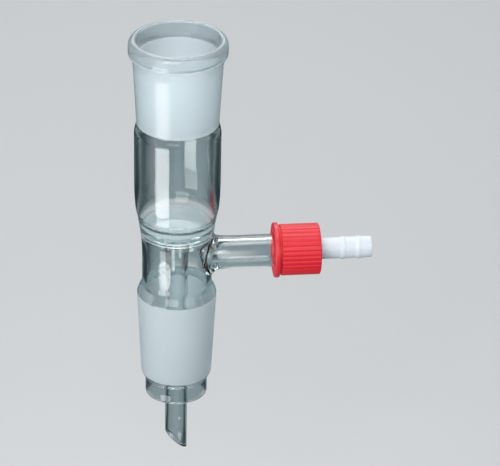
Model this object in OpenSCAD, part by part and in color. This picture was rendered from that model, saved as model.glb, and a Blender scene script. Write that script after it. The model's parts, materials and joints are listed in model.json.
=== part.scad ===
// Straight vacuum take-off adapter: a socket above a cone, with a drip tube sealed
// inside, and a threaded side arm that carries a hose nipple under a screw cap.
// +Z runs up the main axis and +X out along the side arm.
// Z = 0 is the cone's gauge plane, where the cone has its large diameter.

/* [Ground joints] */
// Large-end diameter of the 29/32 taper, on cone and socket alike
joint_large_d = 29.2; // [24:0.1:36]
// Length of the taper
joint_length = 32; // [25:0.5:40]
// Loss of diameter for each millimetre of length
joint_taper = 0.1; // [0.05:0.01:0.12]

/* [Socket and cup] */
// Wall of the socket
socket_wall = 1.85; // [1.2:0.05:3]
// Height of the rim above the plane where the taper would have its large diameter
lip_height = 1.4; // [0.8:0.1:4]
// How far the rim's bead stands out from the large end of the taper
bead_width = 3.2; // [2.2:0.1:5]
// Height of the bead
bead_height = 6.9; // [5.5:0.1:12]
// Height of the cup, from the ring seal to the small end of the socket's taper
cup_height = 43; // [36:0.1:60]
// How much wider than the socket's small end the cup is inside, on the radius
cup_relief = 0.65; // [0.3:0.05:3]
// Wall of the cup
cup_wall = 2; // [1.4:0.1:3]
// Height of the cup's sloping foot above the ring seal
cup_foot_height = 7.5; // [6:0.5:9]
// Height over which the cup rounds in above its foot
cup_round_height = 14; // [10:0.5:18]
// Depth of the rounded funnel in the cup's bottom
funnel_depth = 7.5; // [6:0.5:12]

/* [Shell and cone] */
// Outer diameter of the shell between the cone and the ring seal
shell_d = 25.5; // [21:0.1:31]
// Wall of the shell
shell_wall = 1.7; // [1.2:0.1:2.5]
// Height from the gauge plane to the ring seal
shell_height = 26; // [21:0.5:36]
// Wall of the cone at its small end
cone_wall = 1.9; // [1.4:0.1:3]
// Length of the plain stub below the taper
stub_length = 9.5; // [6:0.5:16]
// How far the stub stays inside the taper's small end, on the radius
stub_relief = 1.55; // [0.5:0.05:3]
// Wall of the stub
stub_wall = 1.5; // [1:0.1:2.5]

/* [Drip tube] */
// Outer diameter of the drip tube
drip_d = 8.2; // [7.5:0.1:10]
// Wall of the drip tube
drip_wall = 1.1; // [0.8:0.1:1.4]
// How far the tip reaches below the stub
drip_reach = 25.3; // [12:0.1:60]
// Height of the slanted cut across the tip
drip_bevel = 7.3; // [3:0.1:10]

/* [Side arm] */
// Outer diameter of the side arm
arm_d = 12; // [10:0.1:14.5]
// Wall of the side arm
arm_wall = 1.7; // [1.2:0.1:2.2]
// Height of the arm's axis above the gauge plane
arm_height = 16.1; // [12:0.1:18.5]
// Length of the arm from the main axis to its open end
arm_length = 47.1; // [40:0.1:60]
// How much the arm widens where it joins the shell, on the radius
arm_flare = 1.2; // [0.4:0.1:2]
// Height of the arm's GL 14 thread above the tube
thread_depth = 0.9; // [0.6:0.05:1.2]
// Length of the thread
thread_length = 7.5; // [5:0.5:9]
// Plain end in front of the thread
thread_lead = 0.8; // [0.5:0.1:2]

/* [Screw cap] */
// Gap between the arm's thread and the cap's bore, on the radius
thread_gap = 0.3; // [0.2:0.05:0.6]
// Wall of the cap at its ribs
cap_wall = 2.25; // [1.6:0.05:4]
// Length of the cap
cap_length = 16.8; // [14.5:0.1:22]
// How far the flange stands out from the ribs
cap_flange_width = 0.65; // [0.3:0.05:2]
// Thickness of the flange at the open end
cap_flange_height = 1.7; // [1.2:0.1:3]
// Depth of the groove between the flange and the ribs, and half its length
cap_groove = 0.5; // [0.2:0.05:0.8]
// Thickness of the cap's end
cap_end = 1.5; // [1:0.1:3]
// Number of grip ribs
rib_count = 32; // [24:1:60]
// Radius of the channel between two ribs
rib_channel_r = 0.45; // [0.2:0.05:0.6]
// Gap between the nipple and the cap's aperture, on the radius
aperture_gap = 0.8; // [0.3:0.1:1.5]

/* [Sealing ring and hose nipple] */
// Thickness of the sealing ring
ring_height = 2; // [1:0.1:2.4]
// Gap around the ring and the nipple's flange inside the cap, on the radius
flange_gap = 0.5; // [0.3:0.1:1]
// Thickness of the nipple's flange
flange_height = 1.6; // [1.2:0.1:2]
// Bore of the nipple
nipple_bore_d = 5; // [4:0.1:5.8]
// Diameter of the nipple's shank and of the valleys between its barbs
shank_d = 7.9; // [7.2:0.1:8.3]
// Diameter of the barbs at their crests
barb_d = 8.5; // [8:0.1:11]
// Diameter of the nipple's free end
nipple_end_d = 7.8; // [6.6:0.1:8]
// How far the nipple stands out of the cap
nipple_reach = 19.3; // [17:0.1:30]
// Distance between two barbs
barb_pitch = 5.7; // [4.5:0.1:6.5]
// Length of a barb's steep side
barb_rise = 1.2; // [0.8:0.1:3]
// Distance from the last barb's crest to the nipple's free end
barb_end_length = 4.9; // [3:0.1:6]
// Number of barbs
barb_count = 2; // [1:1:2]

/* [Hidden] */
$fn = 96;

// How far a cut runs past the face that it opens
past = 1;
// Steps in a rounded stretch of an outline
arc_steps = 8;

// Joint radii
large_r = joint_large_d / 2;
small_r = large_r - joint_length * joint_taper / 2;

// Heights along the main axis, from the tip upwards
stub_end_z = -joint_length - stub_length;
tip_z = stub_end_z - drip_reach;
seal_z = shell_height;
socket_z = seal_z + cup_height;
gauge_z = socket_z + joint_length;
rim_z = gauge_z + lip_height;
bead_z = rim_z - bead_height;

// Radii of the glass
drip_r = drip_d / 2;
drip_bore_r = drip_r - drip_wall;
stub_r = small_r - stub_relief;
stub_bore_r = stub_r - stub_wall;
cone_bore_r = small_r - cone_wall;
shell_r = shell_d / 2;
shell_bore_r = shell_r - shell_wall;
cup_bore_r = small_r + cup_relief;
cup_r = cup_bore_r + cup_wall;
bead_r = large_r + bead_width;
bead_wall_r = large_r + socket_wall - (gauge_z - bead_z) * joint_taper / 2;

// The ring seal swells a little past the shell
seal_swell = 0.55;
seal_groove_r = shell_r + seal_swell;
// The cup draws in to a step this much wider than the ring seal's groove
cup_step = 1.1;
// The wall left between the funnel and the space below it
funnel_wall = 1.5;
funnel_z = seal_z + funnel_wall;
// The ground taper stops at a step inside the mouth, this far above the bead's foot
lip_step_height = 0.9;
lip_step = 0.9;
lip_z = bead_z + lip_step_height;
lip_taper_r = large_r - (gauge_z - lip_z) * joint_taper / 2;
// Rounding of the bead, of the shoulders and of the fire-polished edges
bead_round = 2.3;
bead_foot = 2.1;
shoulder = 3.2;
polish = 0.6;
flare_height = 6.2;

// Side arm
arm_r = arm_d / 2;
arm_bore_r = arm_r - arm_wall;
thread_r = arm_r + thread_depth;
flare_start = shell_bore_r;
flare_length = 9;

// Cap, sealing ring and nipple, by their places along the arm
cap_bore_r = thread_r + thread_gap;
cap_r = cap_bore_r + cap_wall;
cap_flange_r = cap_r + cap_flange_width;
seal_ring_x = arm_length;
flange_x = seal_ring_x + ring_height;
cap_inner_x = flange_x + flange_height;
cap_face_x = cap_inner_x + cap_end;
cap_open_x = cap_face_x - cap_length;
flange_r = cap_bore_r - flange_gap;
ring_bore_r = nipple_bore_d / 2 + flange_gap;
shank_r = shank_d / 2;
barb_r = barb_d / 2;
nipple_end_r = nipple_end_d / 2;
aperture_r = barb_r + aperture_gap;
nipple_end_x = cap_face_x + nipple_reach;
barb_last_x = nipple_end_x - barb_end_length;
cap_chamfer = 0.6;

// A round stretch of an outline: centre, radii across and up, first and last angle
function arc(centre, across, up, first, last) = [
    for (i = [0 : arc_steps])
        let (a = first + (last - first) * i / arc_steps)
            centre + [across * cos(a), up * sin(a)]
];

// Outside of the glass, from the drip tube's tip up to the rim
outer_outline = concat(
    [[0, tip_z], [drip_r, tip_z], [drip_r, stub_end_z]],
    arc([stub_r - polish, stub_end_z + polish], polish, polish, -90, 0),
    [[stub_r, -joint_length - shoulder]],
    [[small_r, -joint_length], [large_r, 0]],
    [for (i = [1 : arc_steps])
        let (t = i / arc_steps)
            [large_r + (shell_r - large_r) * t * t * (3 - 2 * t), flare_height * t]],
    [[shell_r, arm_height]],
    [[seal_groove_r, seal_z]],
    [[seal_groove_r + cup_step / 2, seal_z + cup_foot_height / 4]],
    arc([seal_groove_r + cup_step, seal_z + cup_foot_height + cup_round_height],
        cup_r - seal_groove_r - cup_step, cup_round_height, -90, 0),
    [[cup_r, socket_z - shoulder / 2]],
    [[small_r + socket_wall, socket_z + shoulder / 2]],
    [[bead_wall_r, bead_z - bead_foot / 2]],
    arc([bead_r - bead_foot, bead_z + bead_foot], bead_foot, bead_foot, -60, 0),
    arc([bead_r - bead_round, rim_z - bead_round], bead_round, bead_round, 0, 90),
    [[0, rim_z]]
);

// Passage from the rim through the socket, the cup and the drip tube
passage_outline = concat(
    [[0, rim_z + past], [large_r + polish, rim_z + past], [large_r + polish, lip_z + lip_step]],
    [[lip_taper_r, lip_z], [small_r, socket_z]],
    [[cup_bore_r, socket_z - shoulder]],
    arc([drip_bore_r, funnel_z + funnel_depth], cup_bore_r - drip_bore_r, funnel_depth, 0, -90),
    [[drip_bore_r, tip_z - past], [0, tip_z - past]]
);

// Space between the drip tube and the shell, open at the stub's end
vapour_outline = concat(
    [[drip_r, stub_end_z - past], [stub_bore_r, stub_end_z - past]],
    [[stub_bore_r, -joint_length - shoulder], [cone_bore_r, -joint_length]],
    [[shell_bore_r, 0], [shell_bore_r, seal_z - shoulder]],
    arc([shell_bore_r - shoulder, seal_z - shoulder], shoulder, shoulder, 0, 90),
    arc([drip_r + shoulder / 2, seal_z - shoulder / 2], shoulder / 2, shoulder / 2, 90, 180)
);

// A shape that is turned about the arm's axis, from an outline of [place, radius]
module turned_on_arm(outline) {
    translate([0, 0, arm_height])
        rotate([0, 90, 0])
            rotate_extrude()
                polygon([for (p = outline) [p[1], p[0]]]);
}

module arm_outside() {
    turned_on_arm(concat(
        [[flare_start, 0], [flare_start, arm_r + arm_flare]],
        [for (i = [1 : arc_steps])
            let (t = i / arc_steps)
                [flare_start + flare_length * t, arm_r + arm_flare * pow(1 - t, 2)]],
        [[arm_length - thread_lead - thread_length, arm_r]],
        [[arm_length - thread_lead - thread_length + thread_depth, thread_r]],
        [[arm_length - thread_lead - thread_depth, thread_r]],
        [[arm_length - thread_lead, arm_r], [arm_length, arm_r], [arm_length, 0]]
    ));
}

module arm_bore() {
    start = (drip_r + shell_bore_r) / 2;
    turned_on_arm([[start, 0], [start, arm_bore_r],
                   [arm_length + past, arm_bore_r], [arm_length + past, 0]]);
}

// Wedge that cuts the tip's slant, high on the side away from the arm
module tip_slant() {
    translate([0, drip_d, 0])
        rotate([90, 0, 0])
            linear_extrude(height = 2 * drip_d)
                polygon([[-drip_r - past, tip_z - past],
                         [-drip_r - past, tip_z + drip_bevel * (1 + past / drip_d)],
                         [drip_r + past, tip_z - drip_bevel * past / drip_d],
                         [drip_r + past, tip_z - past]]);
}

module glass_body() {
    color([0.78, 0.86, 0.86])
        difference() {
            union() {
                rotate_extrude() polygon(outer_outline);
                arm_outside();
            }
            rotate_extrude() polygon(passage_outline);
            rotate_extrude() polygon(vapour_outline);
            arm_bore();
            tip_slant();
        }
}

module screw_cap() {
    groove_x = cap_open_x + cap_flange_height;
    color([0.85, 0.12, 0.16])
        difference() {
            turned_on_arm([
                [cap_open_x, cap_bore_r], [cap_open_x, cap_flange_r],
                [groove_x, cap_flange_r], [groove_x, cap_r - cap_groove],
                [groove_x + cap_groove, cap_r - cap_groove], [groove_x + 2 * cap_groove, cap_r],
                [cap_face_x - cap_chamfer, cap_r], [cap_face_x, cap_r - cap_chamfer],
                [cap_face_x, aperture_r], [cap_inner_x, aperture_r], [cap_inner_x, cap_bore_r]
            ]);
            rib_channels(groove_x + cap_groove);
        }
}

// Channels between the grip ribs, from the groove to the cap's face
module rib_channels(from_x) {
    for (i = [0 : rib_count - 1])
        translate([0, 0, arm_height])
            rotate([360 * i / rib_count, 0, 0])
                translate([from_x, 0, cap_r + rib_channel_r / 2])
                    rotate([0, 90, 0])
                        cylinder(r = rib_channel_r, h = cap_face_x - from_x + past, $fn = 16);
}

module sealing_ring() {
    color([0.90, 0.88, 0.84])
        turned_on_arm([[seal_ring_x, ring_bore_r], [seal_ring_x, flange_r],
                       [flange_x, flange_r], [flange_x, ring_bore_r]]);
}

module hose_nipple() {
    bore_r = nipple_bore_d / 2;
    color([0.92, 0.92, 0.90])
        turned_on_arm(concat(
            [[flange_x, bore_r], [flange_x, flange_r], [cap_inner_x, flange_r], [cap_inner_x, shank_r]],
            [for (i = [barb_count - 1 : -1 : 0])
                let (crest = barb_last_x - i * barb_pitch)
                    each [[crest - barb_rise, shank_r], [crest, barb_r]]],
            [[nipple_end_x, nipple_end_r], [nipple_end_x, bore_r]]
        ));
}

glass_body();
screw_cap();
sealing_ring();
hose_nipple();
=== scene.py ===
# Looks of a vacuum take-off adapter: a blown glass body with two ground joints, a
# ribbed screw cap, a barbed hose nipple and its flat seal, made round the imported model.
# +Z runs up the main axis and +X out along the side arm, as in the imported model.
import json
import math

import bmesh
import bpy
from bpy.props import FloatProperty, FloatVectorProperty, IntProperty, PointerProperty
from mathutils import Matrix, Vector


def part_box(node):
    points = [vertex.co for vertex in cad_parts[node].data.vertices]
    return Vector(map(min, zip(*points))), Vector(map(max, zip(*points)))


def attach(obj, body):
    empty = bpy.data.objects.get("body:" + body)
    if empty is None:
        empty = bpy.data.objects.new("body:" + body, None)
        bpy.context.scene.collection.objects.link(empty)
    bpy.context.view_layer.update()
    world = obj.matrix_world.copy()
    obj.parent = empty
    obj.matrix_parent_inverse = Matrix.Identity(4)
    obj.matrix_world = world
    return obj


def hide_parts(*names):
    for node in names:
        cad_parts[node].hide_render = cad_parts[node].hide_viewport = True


bl_info = {
    "name": "Vacuum Take-off Adapter",
    "version": (1, 0, 0),
    "blender": (4, 5, 0),
    "location": "View3D > Sidebar > Adapter",
    "description": "Makes a glass vacuum take-off adapter with a screw cap and hose nipple",
    "category": "Object",
}

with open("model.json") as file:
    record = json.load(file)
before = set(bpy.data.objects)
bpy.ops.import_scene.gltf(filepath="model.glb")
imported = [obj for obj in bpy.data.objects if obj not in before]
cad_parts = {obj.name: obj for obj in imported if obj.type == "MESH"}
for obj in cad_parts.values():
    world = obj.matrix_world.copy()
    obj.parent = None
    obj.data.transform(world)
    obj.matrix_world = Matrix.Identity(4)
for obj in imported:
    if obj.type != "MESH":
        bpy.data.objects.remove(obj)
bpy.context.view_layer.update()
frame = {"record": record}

MM = 0.001
PER_MM = 1 / MM

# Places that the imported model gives
GLASS_LOW, GLASS_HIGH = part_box("glass_body")
CAP_LOW, CAP_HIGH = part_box("screw_cap")
SEAL_LOW, SEAL_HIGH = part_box("sealing_ring")
NIPPLE_LOW, NIPPLE_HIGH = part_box("hose_nipple")
MOUNTS = {m["name"]: Vector(m["pos_m"]) for m in frame["record"]["mounts"]}
GAUGE_Z = MOUNTS["socket"].z / MM
ARM_Z = MOUNTS["hose_nipple"].z / MM
TIP_Z = GLASS_LOW.z / MM
RIM_Z = GLASS_HIGH.z / MM
BEAD_R = GLASS_HIGH.y / MM
ARM_END_X = GLASS_HIGH.x / MM
CAP_OPEN_X = CAP_LOW.x / MM
CAP_FACE_X = CAP_HIGH.x / MM
CAP_FLANGE_R = CAP_HIGH.y / MM
SEAL_START_X = SEAL_LOW.x / MM
SEAL_END_X = SEAL_HIGH.x / MM
SEAL_R = SEAL_HIGH.y / MM
NIPPLE_START_X = NIPPLE_LOW.x / MM
NIPPLE_END_X = NIPPLE_HIGH.x / MM

# Axes that the skins are turned about
MAIN_AXIS = Vector((0, 0, 1))
ARM_AXIS = Vector((1, 0, 0))
ARM_CENTRE = Vector((0, 0, ARM_Z * MM))

# Pitch of the GL 14 thread on the arm and in the cap
THREAD_PITCH = 2.5

GLASS_IOR = 1.474
# What clear and ground glass let through towards a light
CLEAR_SHADE = (0.93, 0.945, 0.94, 1)
GROUND_SHADE = (0.5, 0.54, 0.56, 1)

# Where the camera is, how far it looks to the right of +Y and down, and its roll
CAMERA_PLACE = (-0.0919, -0.9757, 0.557)
CAMERA_TURN = math.radians(6.93)
CAMERA_DIP = math.radians(28.49)
CAMERA_ROLL = math.radians(1.11)

# Soft boxes: centre, the point it faces, width and height in metres, power in watts
MIDDLE = (0.02, 0, 0.02)
SOFTBOXES = {
    "back_top": ((0.05, 0.75, 0.62), MIDDLE, 0.9, 0.5, 4.2),
    "left_strip": ((-0.17, -0.16, -0.064), (0, 0, 0), 0.16, 0.104, 0.33),
    "front_top": ((-0.3, -0.85, 0.5), MIDDLE, 0.7, 0.7, 7),
    "right_fill": ((0.55, -0.8, 0.35), MIDDLE, 0.5, 0.5, 1.6),
    "overhead": ((0, 0.05, 0.8), MIDDLE, 0.4, 0.4, 2.5),
}

# Vertices this near each other are one
WELD = 0.0005 * MM
# Steps of a rounded stretch, and of a full turn
ARC_STEPS = 8
GLASS_STEPS = 96


def size(name, description, default):
    """A length in a panel, from its default in millimetres."""
    return FloatProperty(
        name=name, description=description, default=default * MM, unit="LENGTH", precision=5
    )


def tint(name, description, default):
    """A colour in a panel."""
    return FloatVectorProperty(
        name=name, description=description, default=default, subtype="COLOR", min=0, max=1
    )


class AdapterGlass(bpy.types.PropertyGroup):
    """Sizes and tints of the blown glass body."""

    taper_d: size("Taper diameter", "Diameter of both ground joints at the large end", 29.2)
    taper_length: size("Taper length", "Length of both ground joints", 32)
    taper_loss: FloatProperty(
        name="Taper", description="Loss of diameter along the joints", default=0.1, min=0.05
    )
    socket_wall: size("Socket wall", "Wall of the socket", 1.85)
    bead_height: size("Bead height", "Height of the bead round the rim", 6.9)
    cup_height: size("Cup height", "From the ring seal to the socket's taper", 43)
    cup_relief: size("Cup relief", "How much wider than the taper the cup is, on the radius", 0.65)
    cup_wall: size("Cup wall", "Wall of the cup", 2)
    funnel_depth: size("Funnel depth", "Depth of the rounded bottom of the cup", 7.5)
    shell_d: size("Shell diameter", "Outer diameter between the cone and the ring seal", 25.5)
    shell_wall: size("Shell wall", "Wall of the shell", 1.7)
    shell_height: size("Shell height", "From the cone to the ring seal", 26)
    cone_wall: size("Cone wall", "Wall of the cone at its small end", 1.9)
    stub_length: size("Stub length", "Plain stub below the cone", 9.5)
    stub_relief: size("Stub relief", "How far the stub stays inside the cone, on the radius", 1.55)
    stub_wall: size("Stub wall", "Wall of the stub", 1.5)
    drip_d: size("Drip tube diameter", "Outer diameter of the drip tube", 8.2)
    drip_wall: size("Drip tube wall", "Wall of the drip tube", 1.1)
    drip_bevel: size("Tip slant", "Height of the slanted cut across the tip", 7.3)
    arm_d: size("Arm diameter", "Outer diameter of the side arm", 12)
    arm_wall: size("Arm wall", "Wall of the side arm", 1.7)
    arm_flare: size("Arm flare", "How much the arm widens towards the shell, on the radius", 1.2)
    thread_depth: size("Thread depth", "Height of the arm's thread", 0.9)
    thread_length: size("Thread length", "Length of the arm's thread", 7.5)
    thread_lead: size("Thread lead", "Plain end in front of the thread", 0.8)
    clear_tint: tint("Clear glass", "Tint of the clear glass's skin", (0.96, 0.975, 0.97))
    body_tint: tint("Body", "Tint that deepens with the glass's thickness", (0.62, 0.74, 0.75))
    depth_tint: FloatProperty(
        name="Body depth", description="How fast the body's tint deepens, per metre", default=60
    )
    ground_tint: tint("Ground glass", "Tint of the ground joints", (0.88, 0.91, 0.92))
    chalk_tint: tint("Chalkiness", "Tint of the ground joints' own whiteness", (0.76, 0.82, 0.86))


class AdapterCap(bpy.types.PropertyGroup):
    """Sizes and colour of the screw cap."""

    bore_d: size("Bore", "Diameter of the cap's bore at the bottom of its thread", 14.4)
    outer_d: size("Diameter", "Outer diameter over the ribs", 18.9)
    flange_height: size("Flange", "Thickness of the flange at the open end", 1.7)
    groove: size("Groove", "Depth of the groove behind the flange", 0.5)
    end_wall: size("End wall", "Thickness of the cap's end", 1.5)
    aperture_d: size("Aperture", "Hole that the nipple comes through", 10.1)
    ribs: IntProperty(name="Ribs", description="Number of grip ribs", default=32, min=24, max=60)
    channel: size("Channel", "Depth of the channels between the ribs", 0.36)
    colour: tint("Plastic", "Colour of the cap", (0.71, 0.017, 0.032))


class AdapterNipple(bpy.types.PropertyGroup):
    """Sizes and colours of the hose nipple and the flat seal."""

    bore_d: size("Bore", "Bore of the nipple", 5)
    flange_height: size("Flange", "Thickness of the flange inside the cap", 1.6)
    shank_d: size("Shank", "Diameter between the barbs", 7.9)
    barb_d: size("Barb", "Diameter over the barbs", 8.5)
    end_d: size("Free end", "Diameter of the free end", 7.8)
    barb_pitch: size("Barb pitch", "Distance between the barbs", 5.7)
    barb_rise: size("Barb rise", "Length of a barb's steep side", 1.2)
    barb_end: size("Barb to end", "From the last barb to the free end", 4.9)
    seal_bore_d: size("Seal bore", "Hole in the flat seal", 6)
    colour: tint("Plastic", "Colour of the nipple", (0.68, 0.73, 0.78))
    seal_colour: tint("Seal", "Colour of the flat seal", (0.78, 0.74, 0.66))


class AdapterStage(bpy.types.PropertyGroup):
    """Floor, camera and lights."""

    floor_drop: size("Floor drop", "How far below the tip the floor lies", 55)
    floor_colour: tint("Floor", "Colour of the floor", (0.54, 0.55, 0.555))
    # The floor as rays through the glass see it is painted: a dimmer colour as painted shade, and
    # dark sides in place of black studio sheets
    painted_through_colour: tint("Seen through", "The floor as the glass shows it", (0.22, 0.272, 0.292))
    painted_edge_colour: tint("Side flags", "The dark flags the glass's edges show", (0.022, 0.037, 0.042))
    lens: FloatProperty(
        name="Lens", description="Focal length", default=220.8, min=20, subtype="DISTANCE_CAMERA"
    )


# Outlines. Each is a list of (radius, height) or (place, radius) in millimetres.


def arc(across_centre, up_centre, across, up, first, last, steps=ARC_STEPS):
    """A round stretch of an outline, between two angles in degrees."""
    angles = (math.radians(first + (last - first) * i / steps) for i in range(steps + 1))
    return [(across_centre + across * math.cos(a), up_centre + up * math.sin(a)) for a in angles]


def ladder(start, end, rungs):
    """Even points from start to just before end."""
    return [
        tuple(a + (b - a) * i / rungs for a, b in zip(start, end)) for i in range(rungs)
    ]


def swept(t):
    """Turns an even run from 0 to 1 into one that starts and ends gently."""
    return t * t * (3 - 2 * t)


def sway(start, end, steps=ARC_STEPS):
    """An S-shaped change of radius between two heights, as softened glass takes."""
    (r0, z0), (r1, z1) = start, end
    return [
        (r0 + (r1 - r0) * swept(i / steps), z0 + (z1 - z0) * i / steps) for i in range(steps + 1)
    ]


def sway_along(start, end, steps=4):
    """As sway, for an outline of (place, radius)."""
    return [(x, r) for r, x in sway(start[::-1], end[::-1], steps)]


# Skins


def new_object(name, bm, finish):
    """Makes a piece of the finished skin, smooth and with its faces outward."""
    bmesh.ops.remove_doubles(bm, verts=bm.verts, dist=WELD)
    bmesh.ops.recalc_face_normals(bm, faces=bm.faces)
    for face in bm.faces:
        face.smooth = True
    mesh = bpy.data.meshes.new(name)
    bm.to_mesh(mesh)
    bm.free()
    mesh.materials.append(finish)
    piece = bpy.data.objects.new(name, mesh)
    bpy.context.scene.collection.objects.link(piece)
    return piece


def turned(bm, points, axis, centre, steps, closed):
    """Turns an outline about an axis; returns the new vertices."""
    before = set(bm.verts)
    verts = [bm.verts.new(p) for p in points]
    pairs = list(zip(verts, verts[1:])) + ([(verts[-1], verts[0])] if closed else [])
    edges = [bm.edges.new(pair) for pair in pairs]
    bmesh.ops.spin(
        bm, geom=verts + edges, cent=centre, axis=axis, angle=math.tau, steps=steps,
        use_merge=True, use_duplicate=False,
    )
    return [v for v in bm.verts if v not in before]


def turned_on_main(bm, outline):
    """Turns a closed outline of (radius, height) about the main axis."""
    points = [Vector((r, 0, z)) * MM for r, z in outline]
    return turned(bm, points, MAIN_AXIS, Vector(), GLASS_STEPS, closed=True)


def turned_on_arm(bm, outline, steps=GLASS_STEPS, closed=True):
    """Turns an outline of (place, radius) about the arm's axis."""
    points = [Vector((x, 0, ARM_Z + r)) * MM for x, r in outline]
    return turned(bm, points, ARM_AXIS, ARM_CENTRE, steps, closed)


def ring_verts(verts, place):
    """The ring of a turned skin that lies at a place along the arm, in order round it."""
    ring = [v for v in verts if abs(v.co.x - place * MM) < 0.001 * MM]
    return sorted(ring, key=lambda v: around_arm(v.co)[0])


def ring_edges(bm, verts, place):
    """The edges of the ring of a turned skin that lies at a place along the arm."""
    ring = set(ring_verts(verts, place))
    return [e for e in bm.edges if e.verts[0] in ring and e.verts[1] in ring]


def close_ring(bm, outer, inner):
    """Fills between two rings of vertices, one inside the other."""
    outside = inside = 0
    while outside < len(outer) or inside < len(inner):
        a, b = outer[outside % len(outer)], inner[inside % len(inner)]
        if (outside + 1) * len(inner) <= (inside + 1) * len(outer):
            outside += 1
            bm.faces.new((a, outer[outside % len(outer)], b))
        else:
            inside += 1
            bm.faces.new((a, inner[inside % len(inner)], b))


def thread_height(x, angle):
    """How high the thread stands at a place, from 0 in its root to 1 on its crest."""
    turns = x / THREAD_PITCH - angle / math.tau
    return 0.5 + 0.5 * math.cos(math.tau * turns)


def thread_fade(x, start, end):
    """Fades a thread in and out over half a pitch at each of its ends."""
    return swept(min(min(x - start, end - x) / (THREAD_PITCH / 2), 1))


def around_arm(co):
    """A point's angle and radius about the arm's axis."""
    up = co.z - ARM_CENTRE.z
    return math.atan2(up, co.y), math.hypot(co.y, up) / MM


def set_arm_radius(vert, angle, radius):
    """Moves a vertex to a radius about the arm's axis."""
    vert.co.y = radius * MM * math.cos(angle)
    vert.co.z = ARM_CENTRE.z + radius * MM * math.sin(angle)


class GlassShape:
    """The glass body's measures in millimetres, worked out from its panel."""

    fire_polish = 0.6
    shoulder = 3.2
    seal_swell = 0.55
    lip_step = 0.9

    def __init__(self, s):
        mm = {name: getattr(s, name) / MM for name in s.__annotations__ if "tint" not in name}
        self.mm = mm
        self.taper = s.taper_loss / 2
        self.large_r = mm["taper_d"] / 2
        self.mouth_r = self.large_r + self.fire_polish
        self.small_r = self.large_r - mm["taper_length"] * self.taper
        self.cone_z = -mm["taper_length"]
        self.stub_z = self.cone_z - mm["stub_length"]
        self.seal_z = mm["shell_height"]
        self.socket_z = self.seal_z + mm["cup_height"]
        self.bead_z = RIM_Z - mm["bead_height"]
        self.lip_z = self.bead_z + self.lip_step
        self.lip_taper_r = self.large_r - (GAUGE_Z - self.lip_z) * self.taper
        self.drip_r = mm["drip_d"] / 2
        self.drip_bore_r = self.drip_r - mm["drip_wall"]
        self.drip_straight_z = TIP_Z + mm["drip_bevel"] + 2
        self.stub_r = self.small_r - mm["stub_relief"]
        self.stub_bore_r = self.stub_r - mm["stub_wall"]
        self.cone_bore_r = self.small_r - mm["cone_wall"]
        self.shell_r = mm["shell_d"] / 2
        self.shell_bore_r = self.shell_r - mm["shell_wall"]
        self.cup_bore_r = self.small_r + mm["cup_relief"]
        self.cup_r = self.cup_bore_r + mm["cup_wall"]
        self.neck_r = self.small_r + mm["socket_wall"]
        self.bead_wall_r = self.neck_r + (self.bead_z - self.socket_z) * self.taper
        self.arm_r = mm["arm_d"] / 2
        self.arm_bore_r = self.arm_r - mm["arm_wall"]
        self.thread_end = ARM_END_X - mm["thread_lead"]
        self.thread_start = self.thread_end - mm["thread_length"]

    def shell_radius(self, z):
        """Outer radius of the shell, which swells a little towards the ring seal."""
        t = (z - ARM_Z) / (self.seal_z - ARM_Z)
        return self.shell_r + self.seal_swell * max(t, 0) ** 2

    def bore_radius(self, z):
        """Inner radius of the shell."""
        return self.shell_bore_r


# Windows in the shell's outer and inner skin: half their width in columns of the
# skin, and how far above and below the arm's axis they reach
OUTER_WINDOW = (12, 9.0)
INNER_WINDOW = (9, 6.3)


def shell_rows(radius_at, window):
    """Points up the shell with even rows where its window is cut."""
    columns, reach = window
    rows = 2 * columns
    heights = [ARM_Z - reach + 2 * reach * i / rows for i in range(rows + 1)]
    return [(radius_at(z), z) for z in heights]


def outside_outline(g):
    """Outside of the glass, from the stub's lip up to the top of the rim."""
    polish, shoulder = g.fire_polish, g.shoulder
    flare_height = 6.2
    swollen_r = g.shell_r + g.seal_swell
    step_r = swollen_r + 1.1
    cup_start_z = g.seal_z + 21.5
    cup_bulge = 14
    seal_r, seal_round = swollen_r - 0.35, 0.45
    bead_foot, bead_round, bead_turn = 2.1, 2.3, 2.0
    return (
        arc(g.stub_r - polish, g.stub_z + polish, polish, polish, -90, 0, 4)
        + sway((g.stub_r, g.cone_z - shoulder), (g.small_r - 0.15, g.cone_z - 0.25))
        + ladder((g.small_r, g.cone_z), (g.large_r, 0), 10)
        + sway((g.large_r, 0), (g.shell_r, flare_height), 12)
        + shell_rows(g.shell_radius, OUTER_WINDOW)
        + arc(seal_r, g.seal_z, seal_round, seal_round, -60, 60, 4)
        + [(swollen_r + 0.25, g.seal_z + 1.0)]
        + arc(step_r, cup_start_z, g.cup_r - step_r, cup_bulge, -88, 0, 14)[1:]
        + ladder((g.cup_r, cup_start_z + 1), (g.cup_r, g.socket_z - shoulder), 6)
        + sway((g.cup_r, g.socket_z - shoulder), (g.neck_r, g.socket_z + shoulder / 2))
        + ladder((g.neck_r + 0.1, g.socket_z + 3), (g.bead_wall_r, g.bead_z - 1.2), 8)
        + arc(BEAD_R - bead_foot, g.bead_z + bead_foot, bead_foot, bead_foot, -70, 0)
        + arc(BEAD_R - bead_turn, RIM_Z - bead_round, bead_turn, bead_round, 0, 90)
    )


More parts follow.
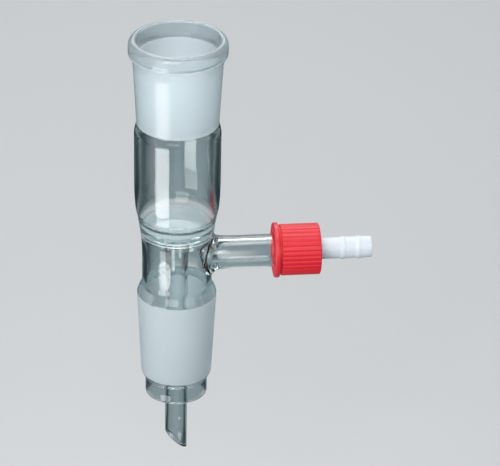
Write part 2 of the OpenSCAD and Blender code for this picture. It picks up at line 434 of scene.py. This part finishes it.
def passage_outline(g):
    """Inside of the glass, from the rim down through the cup to the drip tube's tip."""
    polish = g.fire_polish
    step_z = g.lip_z + 2 * polish
    depth = g.mm["funnel_depth"]
    funnel_z = g.seal_z + 1.5
    return (
        arc(g.mouth_r + polish, RIM_Z - polish, -polish, polish, 90, 0, 4)[1:]
        + ladder((g.mouth_r, RIM_Z - 2 * polish), (g.mouth_r, step_z), 3)
        + sway((g.mouth_r, step_z), (g.lip_taper_r, g.lip_z - 0.2), 6)
        + ladder((g.lip_taper_r - 0.02, g.lip_z - 0.6), (g.small_r, g.socket_z), 10)
        + sway((g.small_r, g.socket_z), (g.cup_bore_r, g.socket_z - g.shoulder), 6)
        + ladder((g.cup_bore_r, g.socket_z - 5), (g.cup_bore_r, funnel_z + depth), 8)
        + arc(g.drip_bore_r, funnel_z + depth, g.cup_bore_r - g.drip_bore_r, depth, 0, -90, 20)
        + ladder((g.drip_bore_r, funnel_z - 1), (g.drip_bore_r, g.drip_straight_z), 10)
    )


def tip_outline(g):
    """The fire-polished lip of the drip tube's tip, before its slant."""
    wall = g.mm["drip_wall"] / 2
    return arc(g.drip_r - wall, TIP_Z + wall, -wall, -wall, 0, 180, 8)


def vapour_outline(g):
    """Up the outside of the drip tube and down the shell, the cone and the stub."""
    shoulder, polish = g.shoulder, g.fire_polish
    roof, fillet = g.seal_z, 1.6
    return (
        ladder((g.drip_r, g.drip_straight_z), (g.drip_r, roof - fillet), 14)
        + arc(g.drip_r + fillet, roof - fillet, -fillet, fillet, 0, 90, 6)
        + arc(g.shell_bore_r - shoulder, roof - shoulder, shoulder, shoulder, 90, 0)
        + shell_rows(g.bore_radius, INNER_WINDOW)[::-1]
        + ladder((g.shell_bore_r, 8), (g.cone_bore_r, g.cone_z), 6)
        + sway((g.cone_bore_r, g.cone_z), (g.stub_bore_r, g.cone_z - shoulder))
        + arc(g.stub_bore_r + polish, g.stub_z + polish, -polish, -polish, 0, 90, 4)
    )


def slant_tip(bm, g):
    """Slants the drip tube's lip, high on the side away from the arm."""
    lip = (TIP_Z + g.mm["drip_wall"]) * MM
    for v in bm.verts:
        if v.co.z < lip:
            v.co.z += g.mm["drip_bevel"] * MM * 0.5 - g.mm["drip_bevel"] * v.co.x / (2 * g.drip_r)


def arm_root(wall_r, tube_r, flare_reach, round_r, steps=10):
    """Outline of the rounding from a wall of wall_r into a tube of tube_r along the arm."""
    turns = (math.radians(90 * i / steps) for i in range(steps + 1))
    return [
        (wall_r + flare_reach * (1 - math.cos(a)), tube_r + round_r * (1 - math.sin(a)))
        for a in turns
    ]


def arm_outline(g):
    """Outside of the arm, from its root to its open end."""
    polish = g.fire_polish
    root = arm_root(g.shell_r, g.arm_r, 2.6, 2.3)
    return (
        root
        + ladder((root[-1][0] + 1.5, g.arm_r), (g.thread_start, g.arm_r), 10)
        + ladder((g.thread_start, g.arm_r), (g.thread_end, g.arm_r), 44)
        + [(g.thread_end, g.arm_r)]
        + arc(ARM_END_X - polish, g.arm_r - polish, polish, polish, 90, 0, 4)
    )


def arm_bore_outline(g):
    """Inside of the arm, from its root to its open end."""
    polish = g.fire_polish
    root = arm_root(g.shell_bore_r, g.arm_bore_r, 1.6, 1.5)
    return (
        root
        + ladder((root[-1][0] + 1, g.arm_bore_r), (ARM_END_X - polish, g.arm_bore_r), 8)
        + arc(ARM_END_X - polish, g.arm_bore_r + polish, polish, -polish, 90, 0, 4)
    )


def saddle(verts, radius_at, wall_r, reach):
    """Bends the root of a tube along the arm to lie on the shell."""
    for v in verts:
        ahead = v.co.x / MM - wall_r
        if ahead < reach:
            radius = radius_at(v.co.z / MM)
            on_shell = math.sqrt(radius**2 - (v.co.y / MM) ** 2)
            v.co.x += (on_shell - wall_r) * MM * (1 - ahead / reach) ** 2


def cut_window(bm, radius_at, window):
    """Opens a window in the shell's skin on the arm's side; returns the edges round it."""
    columns, reach = window
    half_angle = columns * math.tau / GLASS_STEPS
    inside = set()
    for face in bm.faces:
        c = face.calc_center_median()
        near_skin = abs(math.hypot(c.x, c.y) / MM - radius_at(c.z / MM)) < 0.4
        if near_skin and abs(c.z / MM - ARM_Z) < reach and abs(math.atan2(c.y, c.x)) < half_angle:
            inside.add(face)
    border = [
        e for e in {e for f in inside for e in f.edges}
        if sum(f in inside for f in e.link_faces) == 1
    ]
    bmesh.ops.delete(bm, geom=list(inside), context="FACES")
    return border


def weld_root(bm, radius_at, border, tube, wall_r, reach):
    """Joins a tube's root to a window in the shell's skin; returns the rungs between them."""
    root = ring_edges(bm, tube, wall_r)
    saddle(tube, radius_at, wall_r, reach)
    strip = bmesh.ops.bridge_loops(bm, edges=border + root)
    loops = set(border) | set(root)
    return [e for e in strip["edges"] if e not in loops]


def round_strips(bm, rungs, g):
    """Divides the strips round the arm's two roots and lays them on the shell's skins."""
    middle_r = (g.shell_r + g.shell_bore_r) / 2
    cut = bmesh.ops.subdivide_edges(bm, edges=rungs, cuts=3)
    for v in (made for made in cut["geom_inner"] if isinstance(made, bmesh.types.BMVert)):
        radius, z = math.hypot(v.co.x, v.co.y) / MM, v.co.z / MM
        wanted = g.shell_radius(z) if radius > middle_r else g.bore_radius(z)
        v.co.x *= wanted / radius
        v.co.y *= wanted / radius


def shape_arm(tube, g):
    """Widens the arm towards the shell and raises its thread."""
    flare_length = 9
    for v in tube:
        x = v.co.x / MM
        angle, radius = around_arm(v.co)
        t = (x - g.shell_bore_r) / flare_length
        if 0 < t < 1:
            set_arm_radius(v, angle, radius + g.mm["arm_flare"] * (1 - t) ** 2)
        elif g.thread_start < x < g.thread_end:
            rise = thread_height(x, angle) * thread_fade(x, g.thread_start, g.thread_end)
            set_arm_radius(v, angle, radius + g.mm["thread_depth"] * rise)


def make_glass():
    """The whole glass body as one closed skin."""
    s = bpy.context.scene.adapter_glass
    g = GlassShape(s)
    bm = bmesh.new()
    turned_on_main(
        bm, outside_outline(g) + passage_outline(g) + tip_outline(g) + vapour_outline(g)
    )
    bmesh.ops.remove_doubles(bm, verts=bm.verts, dist=WELD)
    slant_tip(bm, g)
    outer_border = cut_window(bm, g.shell_radius, OUTER_WINDOW)
    inner_border = cut_window(bm, g.bore_radius, INNER_WINDOW)
    tube = turned_on_arm(bm, arm_outline(g), GLASS_STEPS, closed=False)
    bore = turned_on_arm(bm, arm_bore_outline(g), 8 * INNER_WINDOW[0], closed=False)
    shape_arm(tube, g)
    rungs = weld_root(bm, g.shell_radius, outer_border, tube, g.shell_r, 8)
    rungs += weld_root(bm, g.bore_radius, inner_border, bore, g.shell_bore_r, 6)
    close_ring(bm, ring_verts(tube, ARM_END_X), ring_verts(bore, ARM_END_X))
    round_strips(bm, rungs, g)
    piece = new_object("blown_glass", bm, glass_finish(s, g))
    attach(piece, "glass")
    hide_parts("glass_body")


def make_cap():
    """The screw cap, with its flange, groove, grip ribs and inner thread."""
    s = bpy.context.scene.adapter_cap
    bore_r, outer_r = s.bore_d / 2 / MM, s.outer_d / 2 / MM
    aperture_r = s.aperture_d / 2 / MM
    flange, groove = s.flange_height / MM, s.groove / MM
    inner_x = CAP_FACE_X - s.end_wall / MM
    groove_x = CAP_OPEN_X + flange
    edge, lip = 0.45, 0.3
    thread_ridge, half_channel = 0.7, 0.27
    ribs_start, ribs_end = groove_x + 2 * groove, CAP_FACE_X - edge
    thread_start, thread_end = CAP_OPEN_X + 1.3, inner_x - 1.2
    outline = (
        arc(CAP_OPEN_X + lip, bore_r + lip, -lip, -lip, 90, 0, 3)
        + arc(CAP_OPEN_X + lip, CAP_FLANGE_R - lip, -lip, lip, 0, 90, 3)
        + arc(groove_x - lip, CAP_FLANGE_R - lip, lip, lip, 90, 0, 3)
        + [(groove_x, outer_r - groove + 0.1), (groove_x + 0.1, outer_r - groove)]
        + sway_along((groove_x + groove, outer_r - groove), (ribs_start, outer_r))
        + ladder((ribs_start + 0.2, outer_r), (ribs_end, outer_r), 12)
        + arc(ribs_end, outer_r - edge, edge, edge, 90, 0, 4)
        + [(CAP_FACE_X, outer_r - edge - 0.25)]
        + arc(CAP_FACE_X - lip, aperture_r + lip, lip, -lip, 0, 90, 3)
        + arc(inner_x + lip, aperture_r + lip, -lip, -lip, 90, 0, 3)
        + [(inner_x, bore_r - 0.3), (inner_x - 0.3, bore_r)]
        + ladder((thread_end, bore_r), (thread_start, bore_r), 46)
        + [(thread_start, bore_r)]
    )
    bm = bmesh.new()
    turned_on_arm(bm, outline, s.ribs * 8)
    for v in bm.verts:
        x = v.co.x / MM
        angle, radius = around_arm(v.co)
        if radius > outer_r - edge and x > groove_x + 0.05:
            off = abs((angle / math.tau * s.ribs + 0.5) % 1 - 0.5)
            valley = math.cos(min(off / half_channel, 1) * math.pi / 2) ** 2
            on_rib = min(max((radius - outer_r + groove) / groove, 0), 1)
            set_arm_radius(v, angle, radius - s.channel / MM * valley * on_rib)
        elif abs(radius - bore_r) < 0.01 and thread_start < x < thread_end:
            ridge = (1 - thread_height(x, angle)) * thread_fade(x, thread_start, thread_end)
            set_arm_radius(v, angle, bore_r - thread_ridge * ridge)
    piece = new_object("ribbed_cap", bm, cap_finish(s))
    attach(piece, "cap")
    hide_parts("screw_cap")


def make_nipple():
    """The barbed hose nipple with its flange."""
    s = bpy.context.scene.adapter_nipple
    bore_r, shank_r, barb_r = s.bore_d / 2 / MM, s.shank_d / 2 / MM, s.barb_d / 2 / MM
    end_r = s.end_d / 2 / MM
    flange_x = NIPPLE_START_X + s.flange_height / MM
    last_crest = NIPPLE_END_X - s.barb_end / MM
    pitch, rise = s.barb_pitch / MM, s.barb_rise / MM
    barbs_start = last_crest - pitch - rise
    edge, half_crest, drop, fillet = 0.2, 0.25, 0.17, 0.5
    barbs = []
    for crest_x, end in (
        (last_crest - pitch, (last_crest - rise - 0.2, shank_r)),
        (last_crest, (NIPPLE_END_X - 2 * edge, end_r)),
    ):
        barbs += sway_along((crest_x - rise, shank_r), (crest_x - half_crest, barb_r), 6)
        barbs += sway_along((crest_x + half_crest, barb_r), (crest_x + 1.1, barb_r - drop), 5)
        barbs += ladder((crest_x + 1.4, barb_r - drop - 0.01), end, 5)
    outline = (
        arc(NIPPLE_START_X + edge, bore_r + edge, -edge, -edge, 90, 0, 3)
        + arc(NIPPLE_START_X + edge, SEAL_R - edge, -edge, edge, 0, 90, 3)
        + arc(flange_x - edge, SEAL_R - edge, edge, edge, 90, 0, 3)
        + arc(flange_x + fillet, shank_r + fillet, -fillet, -fillet, 0, 90, 4)
        + ladder((flange_x + 2 * fillet, shank_r), (barbs_start - 0.4, shank_r), 8)
        + barbs
        + arc(NIPPLE_END_X - edge, end_r - edge, edge, edge, 90, 0, 4)
        + arc(NIPPLE_END_X - edge, bore_r + edge, edge, -edge, 0, 90, 4)
        + ladder((NIPPLE_END_X - 1, bore_r), (NIPPLE_START_X + 1, bore_r), 8)
    )
    bm = bmesh.new()
    turned_on_arm(bm, outline)
    piece = new_object("barbed_nipple", bm, nipple_finish(s))
    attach(piece, "hose_fitting")
    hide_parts("hose_nipple")


def make_seal():
    """The flat seal between the arm's end and the nipple's flange."""
    s = bpy.context.scene.adapter_nipple
    bore_r, edge = s.seal_bore_d / 2 / MM, 0.25
    outline = (
        arc(SEAL_START_X + edge, bore_r + edge, -edge, -edge, 90, 0, 3)
        + arc(SEAL_START_X + edge, SEAL_R - edge, -edge, edge, 0, 90, 3)
        + arc(SEAL_END_X - edge, SEAL_R - edge, edge, edge, 90, 0, 3)
        + arc(SEAL_END_X - edge, bore_r + edge, edge, -edge, 0, 90, 3)
    )
    bm = bmesh.new()
    turned_on_arm(bm, outline)
    piece = new_object("flat_seal", bm, seal_finish(s))
    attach(piece, "hose_fitting")
    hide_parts("sealing_ring")


# Finishes


class Amount:
    """A number that varies over a surface and takes part in Python sums."""

    def __init__(self, finish, socket):
        self.finish = finish
        self.socket = socket

    def worked(self, operation, *terms):
        """The outcome of one Math node."""
        made = self.finish.node("ShaderNodeMath", {"operation": operation}, dict(enumerate(terms)))
        return Amount(self.finish, made.outputs[0])

    def __add__(self, other):
        return self.worked("ADD", self, other)

    def __sub__(self, other):
        return self.worked("SUBTRACT", self, other)

    def __rsub__(self, other):
        return self.worked("SUBTRACT", other, self)

    def __mul__(self, other):
        return self.worked("MULTIPLY", self, other)

    def __pow__(self, other):
        return self.worked("POWER", self, other)

    __radd__ = __add__
    __rmul__ = __mul__

    def rising(self, low, high):
        """Rises gently from 0 at low to 1 at high."""
        made = self.finish.node(
            "ShaderNodeMapRange", {"interpolation_type": "SMOOTHSTEP"},
            {"Value": self, "From Min": low, "From Max": high},
        )
        return Amount(self.finish, made.outputs["Result"])

    def between(self, start, full, fade, end):
        """Rises gently from start to full, and falls again from fade to end."""
        return self.rising(start, full) * (1 - self.rising(fade, end))


class Finish:
    """A procedural material that is put together node by node."""

    def __init__(self, name):
        self.material = bpy.data.materials.new(name)
        self.material.use_nodes = True
        self.tree = self.material.node_tree
        self.tree.nodes.clear()
        self.output = self.tree.nodes.new("ShaderNodeOutputMaterial")
        self.place = self.node("ShaderNodeTexCoord").outputs["Object"]

    def node(self, kind, settings=None, sockets=None):
        """Adds a node, with its settings first and then its sockets' values or links."""
        made = self.tree.nodes.new(kind)
        for name, value in (settings or {}).items():
            setattr(made, name, value)
        for name, value in (sockets or {}).items():
            value = value.socket if isinstance(value, Amount) else value
            if isinstance(value, bpy.types.NodeSocket):
                self.tree.links.new(value, made.inputs[name])
            else:
                made.inputs[name].default_value = value
        return made

    def coordinates(self):
        """The three Object coordinates, as amounts."""
        split = self.node("ShaderNodeSeparateXYZ", None, {"Vector": self.place})
        return [Amount(self, out) for out in split.outputs]

    def noise(self, scale, detail=2.0, stretch=(1, 1, 1)):
        """Noise from 0 to 1, stretched along the axes."""
        mapped = self.node("ShaderNodeMapping", None, {"Vector": self.place, "Scale": stretch})
        made = self.node(
            "ShaderNodeTexNoise", None,
            {"Vector": mapped.outputs[0], "Scale": scale, "Detail": detail, "Roughness": 0.55},
        )
        return Amount(self, made.outputs["Fac"])

    def mixed(self, share, first, second):
        """A colour between two others."""
        made = self.node(
            "ShaderNodeMix", {"data_type": "RGBA"}, {"Factor": share, 6: first, 7: second}
        )
        return made.outputs[2]

    def bump(self, height, depth):
        """A normal from a height that spans depth millimetres."""
        made = self.node(
            "ShaderNodeBump", None, {"Height": height, "Distance": depth * MM, "Strength": 1.0}
        )
        return made.outputs[0]

    def blend(self, share, first, second):
        """A shader between two others."""
        return self.node(
            "ShaderNodeMixShader", None, {0: share, 1: first.outputs[0], 2: second.outputs[0]}
        )

    def shown(self, shader):
        """Ends the material with this shader."""
        self.tree.links.new(shader.outputs[0], self.output.inputs["Surface"])
        return self.material


def rgba(colour, factor=1.0):
    """A colour with its alpha, lightened or darkened."""
    return (*(min(c * factor, 1) for c in colour), 1)


def ground_haze_and_painted_glare(finish, g):
    """How much of the surface is ground: outside the cone and inside the socket, with haze on the
    rim and the socket's outside and a painted reflection on the cup's bottom.
    """
    x, y, z = finish.coordinates()
    radius = (x * x + y * y) ** 0.5 * PER_MM
    ragged_edge = (finish.noise(900) - 0.5) * 0.5
    height = z * PER_MM + ragged_edge
    soft = 0.15
    cone_low, cone_high = g.cone_z - 0.4, 0.7
    cone_line = radius - (height * g.taper + g.large_r)
    cone = cone_line.rising(-0.9, -0.6) * height.between(
        cone_low - soft, cone_low + soft, cone_high - soft, cone_high + soft
    )
    socket_low, socket_high = g.socket_z, g.lip_z + 0.1
    socket_line = radius - ((height - socket_low) * g.taper + g.small_r)
    socket = (1 - socket_line.rising(0.4, 0.8)) * height.between(
        socket_low - soft, socket_low + soft, socket_high - soft, socket_high + soft
    )
    ground = cone + socket
    # The rim and the socket's outside are only hazy; the cup's bottom gets a milky patch, a
    # painted reflection of the light above
    rim_haze, wall_haze, painted_bottom_glare = 0.24, 0.14, 0.66
    rim = height.rising(g.bead_z + 0.1, g.bead_z + 1.1) * rim_haze
    wall = height.rising(socket_low, socket_low + 3) * wall_haze
    bottom = (
        (1 - radius.rising(g.small_r - 1.6, g.small_r - 0.8))
        * height.between(g.seal_z - 1, g.seal_z + 1, g.seal_z + 8, g.seal_z + 10)
        * painted_bottom_glare
    )
    haze_and_painted_glare = rim.worked("MAXIMUM", rim, wall) + bottom
    return ground.worked("MAXIMUM", ground, haze_and_painted_glare)


def glass_finish(s, g):
    """Clear borosilicate glass, with both joints ground."""
    finish = Finish("borosilicate_glass")
    x, y, z = finish.coordinates()
    along, height = x * PER_MM, z * PER_MM
    drawn = finish.noise(60, 1.0, stretch=(1, 1, 0.25))
    lampwork = along.between(g.shell_r - 1, g.shell_r + 1, g.shell_r + 4.25, g.shell_r + 10.25)
    waves = drawn + finish.noise(330, 1.0) * lampwork * 0.5
    socket_wall = height.between(g.socket_z, g.socket_z + 2, g.bead_z - 1.5, g.bead_z + 0.5)
    clear = finish.node(
        "ShaderNodeBsdfPrincipled", None,
        {
            "Base Color": finish.mixed(drawn, rgba(s.clear_tint, 0.99), rgba(s.clear_tint)),
            "Roughness": socket_wall * 0.22,
            "IOR": GLASS_IOR,
            "Transmission Weight": 1.0,
            "Normal": finish.bump(waves, 0.06),
        },
    )
    grit = finish.noise(2600)
    cloud = finish.noise(120)
    grain = finish.bump(grit, 0.02)
    frosted = finish.node(
        "ShaderNodeBsdfPrincipled", None,
        {
            "Base Color": finish.mixed(cloud, rgba(s.ground_tint, 0.96), rgba(s.ground_tint)),
            "Roughness": grit * 0.1 + 0.5,
            "IOR": GLASS_IOR,
            "Transmission Weight": 1.0,
            "Normal": grain,
        },
    )
    chalk = {"Color": rgba(s.chalk_tint), "Normal": grain}
    milky = finish.blend(
        0.5,
        finish.node("ShaderNodeBsdfDiffuse", None, chalk),
        finish.node("ShaderNodeBsdfTranslucent", None, chalk),
    )
    ground = finish.blend(cloud * 0.08 + 0.72, frosted, milky)
    # Ground glass and haze, with a milky patch on the cup's bottom that is a painted reflection of
    # the light above
    share = ground_haze_and_painted_glare(finish, g)
    # Light reaches what is inside and behind the glass, dimmed as it passes
    way = finish.blend(
        share,
        finish.node("ShaderNodeBsdfTransparent", None, {"Color": CLEAR_SHADE}),
        finish.node("ShaderNodeBsdfTransparent", None, {"Color": GROUND_SHADE}),
    )
    to_light = finish.node("ShaderNodeLightPath").outputs["Is Shadow Ray"]
    skin = finish.blend(to_light, finish.blend(share, clear, ground), way)
    body = finish.node(
        "ShaderNodeVolumeAbsorption", None, {"Color": rgba(s.body_tint), "Density": s.depth_tint}
    )
    finish.tree.links.new(body.outputs[0], finish.output.inputs["Volume"])
    return finish.shown(skin)


def moulded_finish(name, colour, shade, roughness, scatter, radius):
    """Moulded plastic with a fine satin grain and a faint cloudiness."""
    finish = Finish(name)
    cloud = finish.noise(160, 3.0)
    grain = finish.noise(2200, 2.0)
    plastic = finish.node(
        "ShaderNodeBsdfPrincipled", None,
        {
            "Base Color": finish.mixed(cloud, rgba(colour, shade), rgba(colour)),
            "Roughness": cloud * 0.08 + grain * 0.05 + roughness,
            "IOR": 1.5,
            "Subsurface Weight": scatter,
            "Subsurface Radius": radius,
            "Subsurface Scale": 1.0 * MM,
            "Normal": finish.bump(grain, 0.012),
        },
    )
    return finish.shown(plastic)


def cap_finish(s):
    """Red plastic."""
    return moulded_finish("red_moulding", s.colour, 0.88, 0.30, 0.15, (1.0, 0.25, 0.2))


def nipple_finish(s):
    """Milky white plastic."""
    return moulded_finish("white_moulding", s.colour, 0.96, 0.36, 0.5, (1.0, 1.0, 1.0))


def seal_finish(s):
    """Off-white silicone."""
    return moulded_finish("seal_silicone", s.seal_colour, 0.93, 0.45, 0.3, (1.0, 0.9, 0.8))


# Stage


def softbox(name, centre, aim, width, height, power):
    """A rectangular studio light that the camera itself doesn't see."""
    light = bpy.data.lights.new(name, "AREA")
    light.shape = "RECTANGLE"
    light.size, light.size_y = width, height
    light.energy = power
    lamp = bpy.data.objects.new(name, light)
    lamp.location = centre
    lamp.rotation_euler = (Vector(aim) - Vector(centre)).to_track_quat("-Z", "Y").to_euler()
    lamp.visible_camera = False
    bpy.context.scene.collection.objects.link(lamp)


def make_floor(s):
    """A plain pale floor, below the tip.

    Rays that come through the glass see it with painted shade: dimmer all over, with a
    painted patch of light behind the shell and, off to both sides, painted dark bands
    that stand in for the black sheets that draw glass's edges in a studio.
    """
    bm = bmesh.new()
    bmesh.ops.create_grid(bm, x_segments=1, y_segments=1, size=6)
    mesh = bpy.data.meshes.new("floor")
    bm.to_mesh(mesh)
    bm.free()
    finish = Finish("floor_with_painted_shade")
    x, y, z = finish.coordinates()
    aside = x * math.cos(CAMERA_TURN) - y * math.sin(CAMERA_TURN)
    aside = aside.worked("ABSOLUTE", aside)
    behind = x * math.sin(CAMERA_TURN) + y * math.cos(CAMERA_TURN)
    # Painted dark bands off to both sides, in place of black studio sheets
    painted_flags = aside.between(0.03, 0.11, 0.24, 0.31)
    # A painted patch of light on the floor behind the shell
    painted_pool = behind.between(0.17, 0.205, 0.235, 0.28) * (1 - aside.rising(0.018, 0.036)) * 0.8
    # The plain floor, and its painted dim and painted dark colours for rays through the glass
    plain, dim, dark = (
        finish.node("ShaderNodeBsdfDiffuse", None, {"Color": rgba(colour)})
        for colour in (s.floor_colour, s.painted_through_colour, s.painted_edge_colour)
    )
    # Rays through the glass see painted shade and light: the dim floor, the patch of light and the
    # dark sides
    painted_through_glass = finish.blend(painted_flags, finish.blend(painted_pool, dim, plain), dark)
    directly = finish.node("ShaderNodeLightPath").outputs["Is Camera Ray"]
    mesh.materials.append(finish.shown(finish.blend(directly, painted_through_glass, plain)))
    floor = bpy.data.objects.new("floor", mesh)
    floor.location.z = TIP_Z * MM - s.floor_drop
    bpy.context.scene.collection.objects.link(floor)


def make_camera(s):
    """The camera, which looks down at the adapter from in front."""
    camera = bpy.data.cameras.new("camera")
    camera.lens = s.lens
    camera.clip_start, camera.clip_end = 0.05, 20
    eye = bpy.data.objects.new("camera", camera)
    turn = Matrix.Rotation(-CAMERA_TURN, 4, "Z")
    tilt = Matrix.Rotation(math.pi / 2 - CAMERA_DIP, 4, "X")
    roll = Matrix.Rotation(CAMERA_ROLL, 4, "Z")
    eye.matrix_world = Matrix.Translation(CAMERA_PLACE) @ turn @ tilt @ roll
    bpy.context.scene.collection.objects.link(eye)
    bpy.context.scene.camera = eye


def make_studio():
    """The room's light: soft boxes and an even grey surround."""
    world = bpy.data.worlds.new("studio")
    world.use_nodes = True
    surround = world.node_tree.nodes["Background"]
    surround.inputs["Color"].default_value = (0.9, 0.95, 1.0, 1)
    surround.inputs["Strength"].default_value = 0.35
    scene = bpy.context.scene
    scene.world = world
    for name, settings in SOFTBOXES.items():
        softbox(name, *settings)
    scene.view_settings.view_transform = "Standard"
    scene.cycles.max_bounces = 24
    scene.cycles.transmission_bounces = 20
    scene.cycles.glossy_bounces = 6
    scene.cycles.transparent_max_bounces = 24
    scene.cycles.caustics_refractive = True
    scene.cycles.caustics_reflective = False


class ADAPTER_OT_glass(bpy.types.Operator):
    """Make the blown glass body"""

    bl_idname = "adapter.glass"
    bl_label = "Glass Body"

    def execute(self, context):
        make_glass()
        return {"FINISHED"}


class ADAPTER_OT_cap(bpy.types.Operator):
    """Make the ribbed screw cap"""

    bl_idname = "adapter.cap"
    bl_label = "Screw Cap"

    def execute(self, context):
        make_cap()
        return {"FINISHED"}


class ADAPTER_OT_nipple(bpy.types.Operator):
    """Make the hose nipple and the flat seal behind it"""

    bl_idname = "adapter.nipple"
    bl_label = "Hose Nipple and Seal"

    def execute(self, context):
        make_nipple()
        make_seal()
        return {"FINISHED"}


class ADAPTER_OT_stage(bpy.types.Operator):
    """Make the floor, the lights and the camera"""

    bl_idname = "adapter.stage"
    bl_label = "Stage"

    def execute(self, context):
        settings = context.scene.adapter_stage
        make_floor(settings)
        make_camera(settings)
        make_studio()
        return {"FINISHED"}


STEPS = (ADAPTER_OT_glass, ADAPTER_OT_cap, ADAPTER_OT_nipple, ADAPTER_OT_stage)
SETTINGS = {
    "adapter_glass": AdapterGlass,
    "adapter_cap": AdapterCap,
    "adapter_nipple": AdapterNipple,
    "adapter_stage": AdapterStage,
}


class ADAPTER_PT_panel(bpy.types.Panel):
    """Sizes, colours and the steps that make the adapter"""

    bl_label = "Vacuum Take-off Adapter"
    bl_space_type = "VIEW_3D"
    bl_region_type = "UI"
    bl_category = "Adapter"

    def draw(self, context):
        for step, (name, group) in zip(STEPS, SETTINGS.items()):
            box = self.layout.box()
            settings = getattr(context.scene, name)
            for prop in group.__annotations__:
                box.prop(settings, prop)
            box.operator(step.bl_idname)


def register():
    for cls in (*SETTINGS.values(), *STEPS, ADAPTER_PT_panel):
        bpy.utils.register_class(cls)
    for name, group in SETTINGS.items():
        setattr(bpy.types.Scene, name, PointerProperty(type=group))


def unregister():
    for name in SETTINGS:
        delattr(bpy.types.Scene, name)
    for cls in reversed((*SETTINGS.values(), *STEPS, ADAPTER_PT_panel)):
        bpy.utils.unregister_class(cls)


def main():
    """Makes every piece and the stage."""
    register()
    bpy.ops.adapter.glass()
    bpy.ops.adapter.cap()
    bpy.ops.adapter.nipple()
    bpy.ops.adapter.stage()
    bpy.context.view_layer.update()


if __name__ == "__main__":
    main()
